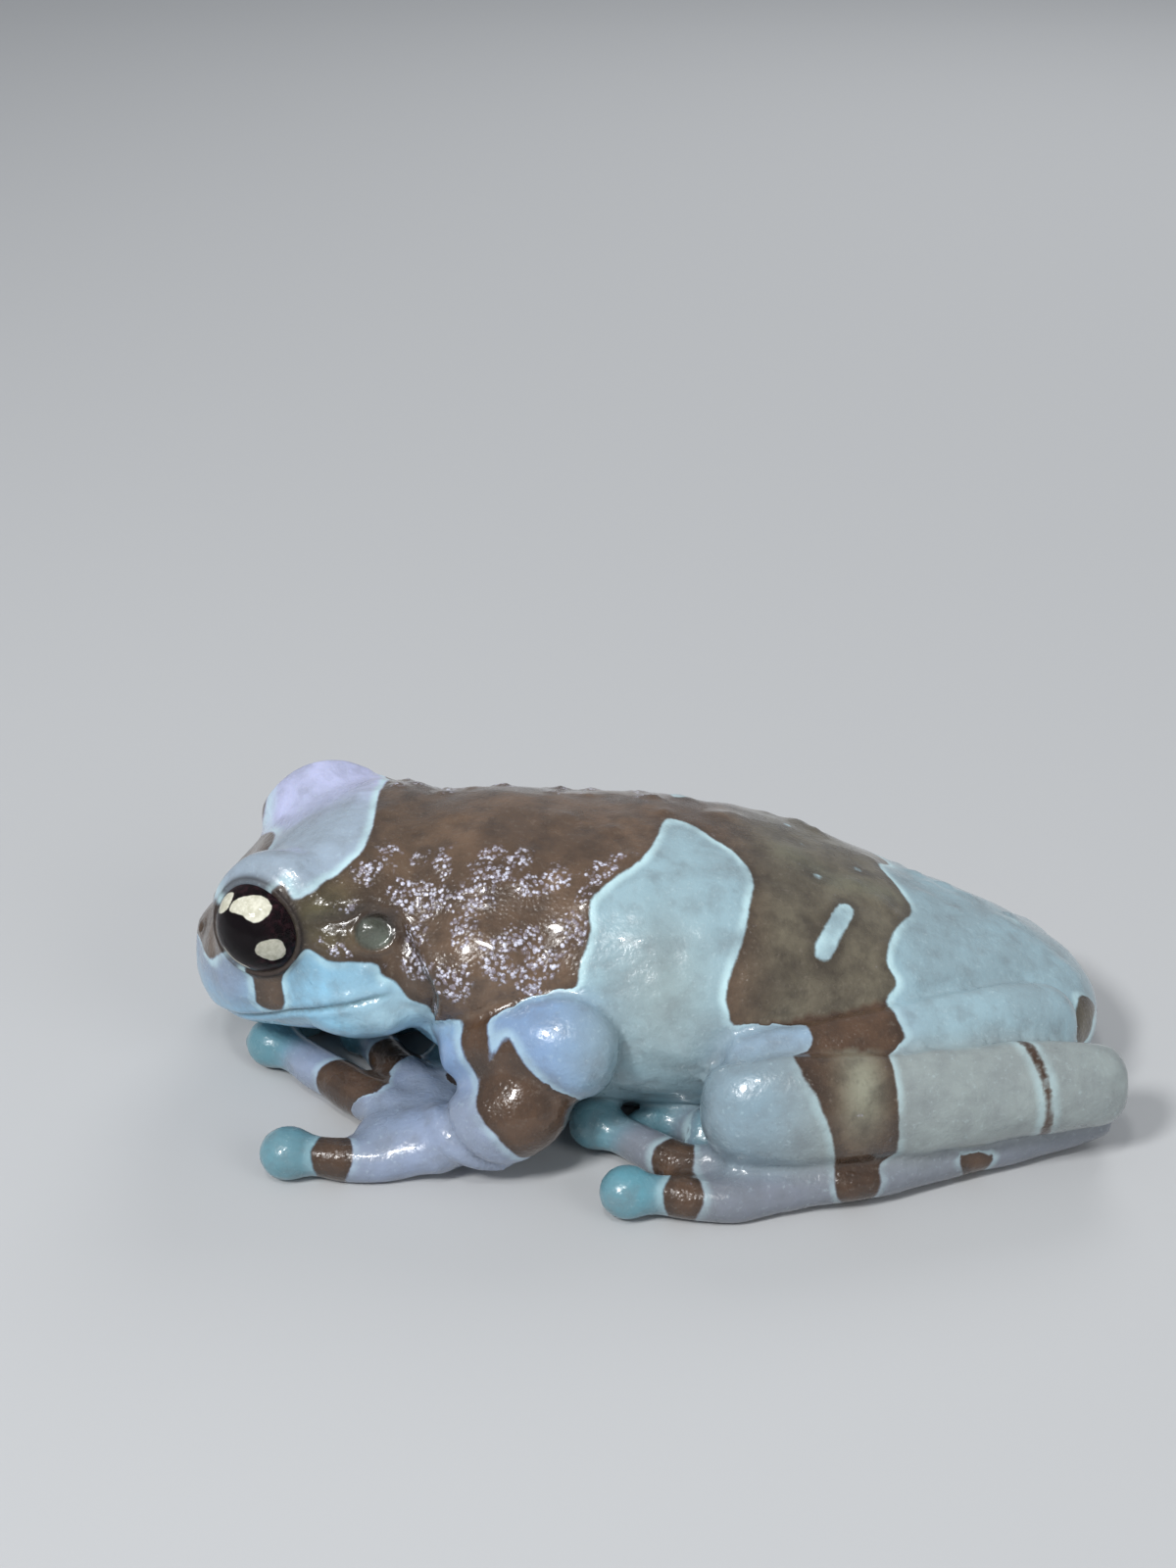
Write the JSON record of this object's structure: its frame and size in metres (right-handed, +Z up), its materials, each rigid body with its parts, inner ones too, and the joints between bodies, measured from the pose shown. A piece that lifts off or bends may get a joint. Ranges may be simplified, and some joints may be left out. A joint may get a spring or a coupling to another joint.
{
  "type": "milk frog",
  "caption": "Resting tree frog with folded legs, bulging eyes, disc-tipped fingers and toes, and bold pale and brown bands.",
  "frame": {"origin": "centre of the animal's bounding box in X and Y, on the floor that it lies on", "axes": "+Z up, snout towards -X, the animal's left side towards -Y"},
  "size_m": [0.0632, 0.0458, 0.0204],
  "materials": {
    "skin": "moist smooth amphibian skin, glossy",
    "eye": "wet, mirror-bright eyeball"
  },
  "bodies": {
    "root": {"head": "skin", "torso": "skin", "eye_left": "eye", "eye_right": "eye", "upper_arm_left": "skin", "upper_arm_right": "skin", "forearm_left": "skin", "forearm_right": "skin", "hand_left": "skin", "hand_right": "skin", "thigh_left": "skin", "thigh_right": "skin", "shank_left": "skin", "shank_right": "skin", "foot_left": "skin", "foot_right": "skin"}
  },
  "joints": []
}
